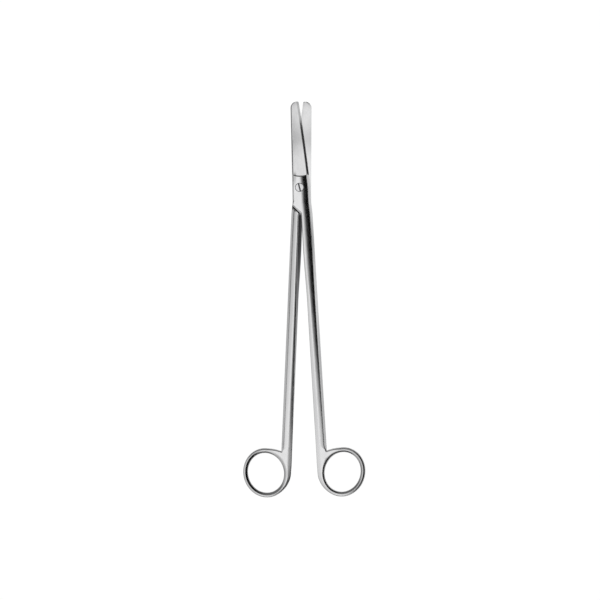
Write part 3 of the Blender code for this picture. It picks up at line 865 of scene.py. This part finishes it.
def mark_finish(piece, side):
    """Marks the way of the grinding and where shade is painted as darker, duller steel on a half's points.

    bar_grain is (across, along) in mm. ring_grain is the distance from the ring's centre and the
    length of arc round it. on_ring rises from 0 on the bar to 1 on the ring.
    """
    mesh = piece.data
    points = np.empty(len(mesh.vertices) * 3, np.float32)
    mesh.vertices.foreach_get("co", points)
    across, along, high = unplaced(points.reshape(-1, 3).astype(float), side)
    away = np.hypot(across - RING_OFFSET, along + RING_REACH)
    round_it = np.arctan2(along + RING_REACH, across - RING_OFFSET) * HOLE_LONG
    vectors = {"bar_grain": (across, along, 0 * high), "ring_grain": (away, round_it, 0 * high)}
    for name, parts in vectors.items():
        layer = mesh.attributes.new(name, "FLOAT_VECTOR", "POINT")
        layer.data.foreach_set("vector", np.stack(parts, axis=1).astype(np.float32).ravel())
    values = {
        "on_ring": smooth(-along, -CROTCH_ALONG - 4, -CROTCH_ALONG + 6),
        # painted shade, with duller steel, where the halves meet
        "shade_and_dull": shade_and_dull_places(across, along, high),
    }
    for name, value in values.items():
        layer = mesh.attributes.new(name, "FLOAT", "POINT")
        layer.data.foreach_set("value", value.astype(np.float32))


def attribute(tree, name, output):
    return add_node(tree, "ShaderNodeAttribute", attribute_name=name).outputs[output]


def noise(tree, vector, scale, detail, stretch=1.0):
    """Noise from 0 to 1, drawn out along the vector's second part where stretch is under 1."""
    factors = (1, stretch, 1)
    stretched = add_node(tree, "ShaderNodeMapping", [vector, None, None, factors], vector_type="POINT")
    inputs = [stretched.outputs[0], None, scale, detail, NOISE_ROUGH]
    return add_node(tree, "ShaderNodeTexNoise", inputs).outputs[0]


def blend(tree, first, second, part):
    """A colour or a number between two others."""
    colours = isinstance(first, tuple) or isinstance(second, tuple)
    made = add_node(tree, "ShaderNodeMix", data_type="RGBA" if colours else "FLOAT")
    first_place, second_place, result = (6, 7, 2) if colours else (2, 3, 0)
    for value, place in ((part, 0), (first, first_place), (second, second_place)):
        if isinstance(value, bpy.types.NodeSocket):
            tree.links.new(value, made.inputs[place])
        else:
            made.inputs[place].default_value = value
    return made.outputs[result]


def shade(colour, factor=1.0):
    """A colour with its brightness changed by a factor, and alpha 1."""
    return (*(factor * value for value in colour), 1)


def streaks(tree, scale_and_detail, stretch):
    """Noise drawn out along the bar, and round the ring where that begins."""
    along_bar, round_ring = stretch
    bar = noise(tree, attribute(tree, "bar_grain", "Vector"), *scale_and_detail, along_bar)
    ring_way = noise(tree, attribute(tree, "ring_grain", "Vector"), *scale_and_detail, round_ring)
    return blend(tree, bar, ring_way, attribute(tree, "on_ring", "Fac"))


def spread(tree, values, middle, reach):
    """A number that goes from middle less reach to middle plus reach over the noise's usual span."""
    return ramp(tree, values, *NOISE_SPAN, middle - reach, middle + reach)


def in_metres(lengths):
    return [length * MM for length in lengths]


def head_gap_shade(tree):
    """The thin ring between the screw's head and its seat, where shade is painted, as 0 to 1, on the upper
    side only.

    It also gives the distance from the pivot's axis, the root of x squared plus y squared, and
    the height.
    """
    place = add_node(tree, "ShaderNodeTexCoord").outputs["Object"]
    x, y, z = add_node(tree, "ShaderNodeSeparateXYZ", [place]).outputs
    squares = sums(tree, "ADD", sums(tree, "POWER", x, 2.0), sums(tree, "POWER", y, 2.0))
    away = sums(tree, "SQRT", squares, 0.0)
    off = sums(tree, "ABSOLUTE", sums(tree, "SUBTRACT", away, GAP_RADIUS * MM), 0.0)
    # Painted shade: a dark line in the gap round the screw's head
    ring_line = ramp(tree, off, *in_metres(GAP_OFF))
    return sums(tree, "MULTIPLY", ring_line, ramp(tree, z, *in_metres(GAP_HIGH))), away, z


def steel_material(name):
    material = bpy.data.materials.new(name)
    material.use_nodes = True
    material.node_tree.nodes["Principled BSDF"].inputs["Metallic"].default_value = 1.0
    return material, material.node_tree


def finish(tree, tint, rough, shade_and_dull, marks, strength):
    """Joins colour, roughness and grinding marks to the shader: painted shade as dark, duller steel where
    the mask is 1.
    """
    shader = tree.nodes["Principled BSDF"]
    # Painted shade: the colour darkens to the shade colour where the mask is 1
    tree.links.new(blend(tree, tint, shade(PAINTED_SHADE_STEEL), shade_and_dull), shader.inputs["Base Color"])
    tree.links.new(blend(tree, rough, DULL_ROUGH, shade_and_dull), shader.inputs["Roughness"])
    bump = add_node(tree, "ShaderNodeBump")
    bump.inputs["Strength"].default_value = strength
    bump.inputs["Distance"].default_value = MARK_DEEP * MM
    tree.links.new(marks, bump.inputs["Height"])
    tree.links.new(bump.outputs[0], shader.inputs["Normal"])


def satin_steel():
    """Stainless steel ground lengthwise and brushed satin, with painted shade in the gaps between parts.

    Fine and broad streaks run along the blades and shanks and round the rings. They vary the
    colour and the roughness, and a cloudy noise varies the roughness a little more.
    """
    material, tree = steel_material("satin_steel")
    fine = sums(tree, "MULTIPLY", streaks(tree, FINE_STREAKS, FINE_STRETCH), FINE_SHARE)
    broad = sums(tree, "MULTIPLY", streaks(tree, BROAD_STREAKS, BROAD_STRETCH), 1 - FINE_SHARE)
    streak = sums(tree, "ADD", fine, broad)
    cloud = noise(tree, attribute(tree, "bar_grain", "Vector"), *CLOUD)
    tint = blend(tree, shade(STEEL, 1 - TINT_SPREAD), shade(STEEL, 1 + TINT_SPREAD), streak)
    rough = spread(tree, streak, ROUGH, ROUGH_SPREAD)
    rough = sums(tree, "ADD", rough, spread(tree, cloud, 0.0, CLOUD_SPREAD))
    # Painted shade where the halves meet and round the screw's head
    shade_and_dull = sums(tree, "MAXIMUM", attribute(tree, "shade_and_dull", "Fac"), head_gap_shade(tree)[0])
    finish(tree, tint, rough, shade_and_dull, streak, STREAK_STRENGTH)
    return material


def turned_steel():
    """The screw's steel, turned on a lathe: fine rings about its axis, and painted shade in its slot and
    rim.
    """
    material, tree = steel_material("turned_steel")
    rim_shade, away, high = head_gap_shade(tree)
    # Painted shade in the screw's slot, growing with its depth
    slot_shade_mask = ramp(tree, high, *in_metres(JOINT_THICK - depth for depth in SLOT_SHADE))
    scale, detail = TURNING
    turning = add_node(tree, "ShaderNodeTexNoise", noise_dimensions="1D")
    tree.links.new(away, turning.inputs["W"])
    turning.inputs["Scale"].default_value = scale / MM
    turning.inputs["Detail"].default_value = detail
    marks = turning.outputs[0]
    scale, detail = SCREW_CLOUD
    cloud = noise(tree, add_node(tree, "ShaderNodeTexCoord").outputs["Object"], scale / MM, detail)
    low, high = shade(SCREW_STEEL, 1 - SCREW_TINT_SPREAD), shade(SCREW_STEEL, 1 + SCREW_TINT_SPREAD)
    rough = spread(tree, marks, SCREW_ROUGH, SCREW_SPREAD)
    rough = sums(tree, "ADD", rough, spread(tree, cloud, 0.0, SCREW_SPREAD))
    # Painted shade in the slot and round the head's rim
    shade_and_dull = sums(tree, "MAXIMUM", rim_shade, slot_shade_mask)
    finish(tree, blend(tree, low, high, marks), rough, shade_and_dull, marks, TURNING_STRENGTH)
    return material


def make_floor():
    """A white table that glows, more for the camera than in the steel's reflections.

    The camera also sees a little of its paint, and on it the faint shadow of the scissors.
    """
    corners = [(-1, -1), (1, -1), (1, 1), (-1, 1)]
    points = [(x * FLOOR_HALF, y * FLOOR_HALF, FLOOR_HIGH * MM) for x, y in corners]
    mesh = bpy.data.meshes.new("floor")
    mesh.from_pydata(points, [], [(0, 1, 2, 3)])
    floor = bpy.data.objects.new("floor", mesh)
    bpy.context.scene.collection.objects.link(floor)
    material = bpy.data.materials.new("white_table")
    material.use_nodes = True
    tree = material.node_tree
    tree.nodes.clear()
    path = add_node(tree, "ShaderNodeLightPath")
    to_camera = sums(tree, "MULTIPLY", path.outputs["Is Camera Ray"], GLOW_TO_CAMERA)
    to_steel = sums(tree, "MAXIMUM", path.outputs["Is Glossy Ray"], path.outputs["Is Transmission Ray"])
    seen = sums(tree, "MAXIMUM", to_camera, sums(tree, "MULTIPLY", to_steel, GLOW_TO_STEEL))
    paint = add_node(tree, "ShaderNodeBsdfDiffuse", [shade((1, 1, 1), FLOOR_PAINT)])
    glow = add_node(tree, "ShaderNodeEmission", [(1, 1, 1, 1), FLOOR_GLOW])
    both = add_node(tree, "ShaderNodeMixShader", [seen, paint.outputs[0], glow.outputs[0]])
    tree.links.new(both.outputs[0], add_node(tree, "ShaderNodeOutputMaterial").inputs[0])
    mesh.materials.append(material)


def lamp(tree, way, angle, towards, inner, outer, strength):
    """A round soft lamp in the world, an S curve on the cosine of the angle to its middle."""
    a, t = math.radians(angle), math.radians(towards)
    middle = (math.sin(a) * math.cos(t), math.sin(a) * math.sin(t), math.cos(a))
    cosine = add_node(tree, "ShaderNodeVectorMath", [way, middle], operation="DOT_PRODUCT")
    far, near = math.cos(math.radians(outer)), math.cos(math.radians(inner))
    return ramp(tree, cosine.outputs["Value"], far, near, 0, strength)


def make_light():
    """A soft studio, of which the camera sees only plain white.

    A white ceiling dims to the horizon, with one lamp overhead and one towards the rings. Curtains
    darken it to the right and beyond the tips, and low down on the left and beyond the rings. A
    strip at the foot of the right wall is lit. The brightness is worked out from the direction
    (x, y, z), and each curtain is a factor that is an S curve on x or y.
    """
    world = bpy.data.worlds.new("studio")
    world.use_nodes = True
    tree = world.node_tree
    background = tree.nodes["Background"]
    way = add_node(tree, "ShaderNodeTexCoord").outputs["Generated"]
    direction = add_node(tree, "ShaderNodeSeparateXYZ", [way]).outputs
    x, y, z = direction

    rising = sums(tree, "MULTIPLY", sums(tree, "MAXIMUM", z, 0.0), CEILING[1])
    light = sums(tree, "ADD", rising, CEILING[0])
    light = sums(tree, "MULTIPLY", light, ramp(tree, y, *RING_END_SHADE))
    for spot in (OVERHEAD_LAMP, RING_END_LAMP):
        light = sums(tree, "ADD", light, lamp(tree, way, *spot))
    for part, *curve in CURTAINS:
        light = sums(tree, "MULTIPLY", light, ramp(tree, direction[part], *curve))
    foot = sums(tree, "MULTIPLY", ramp(tree, x, *FOOT_ACROSS), ramp(tree, z, *FOOT_HIGH))
    light = sums(tree, "ADD", light, foot)
    to_camera = add_node(tree, "ShaderNodeLightPath").outputs["Is Camera Ray"]
    tree.links.new(blend(tree, light, 1.0, to_camera), background.inputs["Strength"])
    background.inputs["Color"].default_value = (1, 1, 1, 1)
    bpy.context.scene.world = world


def make_camera():
    """A long lens straight above the middle of the photograph, turned a little."""
    data = bpy.data.cameras.new("camera")
    data.lens = data.sensor_width * CAMERA_HIGH / (FIELD * MM)
    data.clip_start = 0.1
    data.clip_end = 10
    camera = bpy.data.objects.new("camera", data)
    turn = -math.radians(VIEW_TURN)
    x, y = VIEW_MIDDLE
    turned = (x * math.cos(turn) - y * math.sin(turn), x * math.sin(turn) + y * math.cos(turn), 0)
    camera.location = Vector(turned) * MM + Vector((0, 0, CAMERA_HIGH + HALF_JOINT * MM))
    camera.rotation_euler = (0, 0, turn)
    bpy.context.scene.collection.objects.link(camera)
    bpy.context.scene.camera = camera


def main():
    steel = satin_steel()
    make_half("front_half_steel", "front_half", 1, steel)
    make_half("back_half_steel", "back_half", -1, steel)
    make_screw(turned_steel())
    make_floor()
    make_light()
    make_camera()
    bpy.context.scene.view_settings.view_transform = "Standard"


main()
